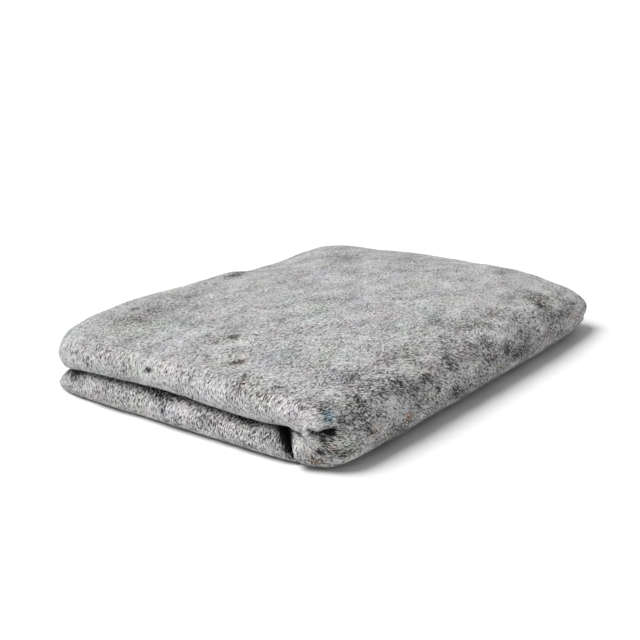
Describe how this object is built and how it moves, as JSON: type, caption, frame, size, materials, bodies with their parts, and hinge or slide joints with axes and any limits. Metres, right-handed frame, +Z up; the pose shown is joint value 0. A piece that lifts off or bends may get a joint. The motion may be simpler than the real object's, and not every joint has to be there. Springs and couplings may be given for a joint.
{
  "type": "folded felt moving blanket",
  "caption": "Heather-grey recycled felt moving blanket, folded in half again and again into a soft flat bundle with one rounded spine and rolled closed ends.",
  "frame": {"origin": "centre of the bundle's bounding box on the surface that it lies on", "axes": "+X along the bundle's long side, away from the closed rolls; -Y towards the rounded spine of the last fold; +Z up"},
  "size_m": [0.4628, 0.3486, 0.0613],
  "materials": {
    "felt": "matte heathered felt"
  },
  "bodies": {
    "root": {"blanket": "felt"}
  },
  "joints": []
}
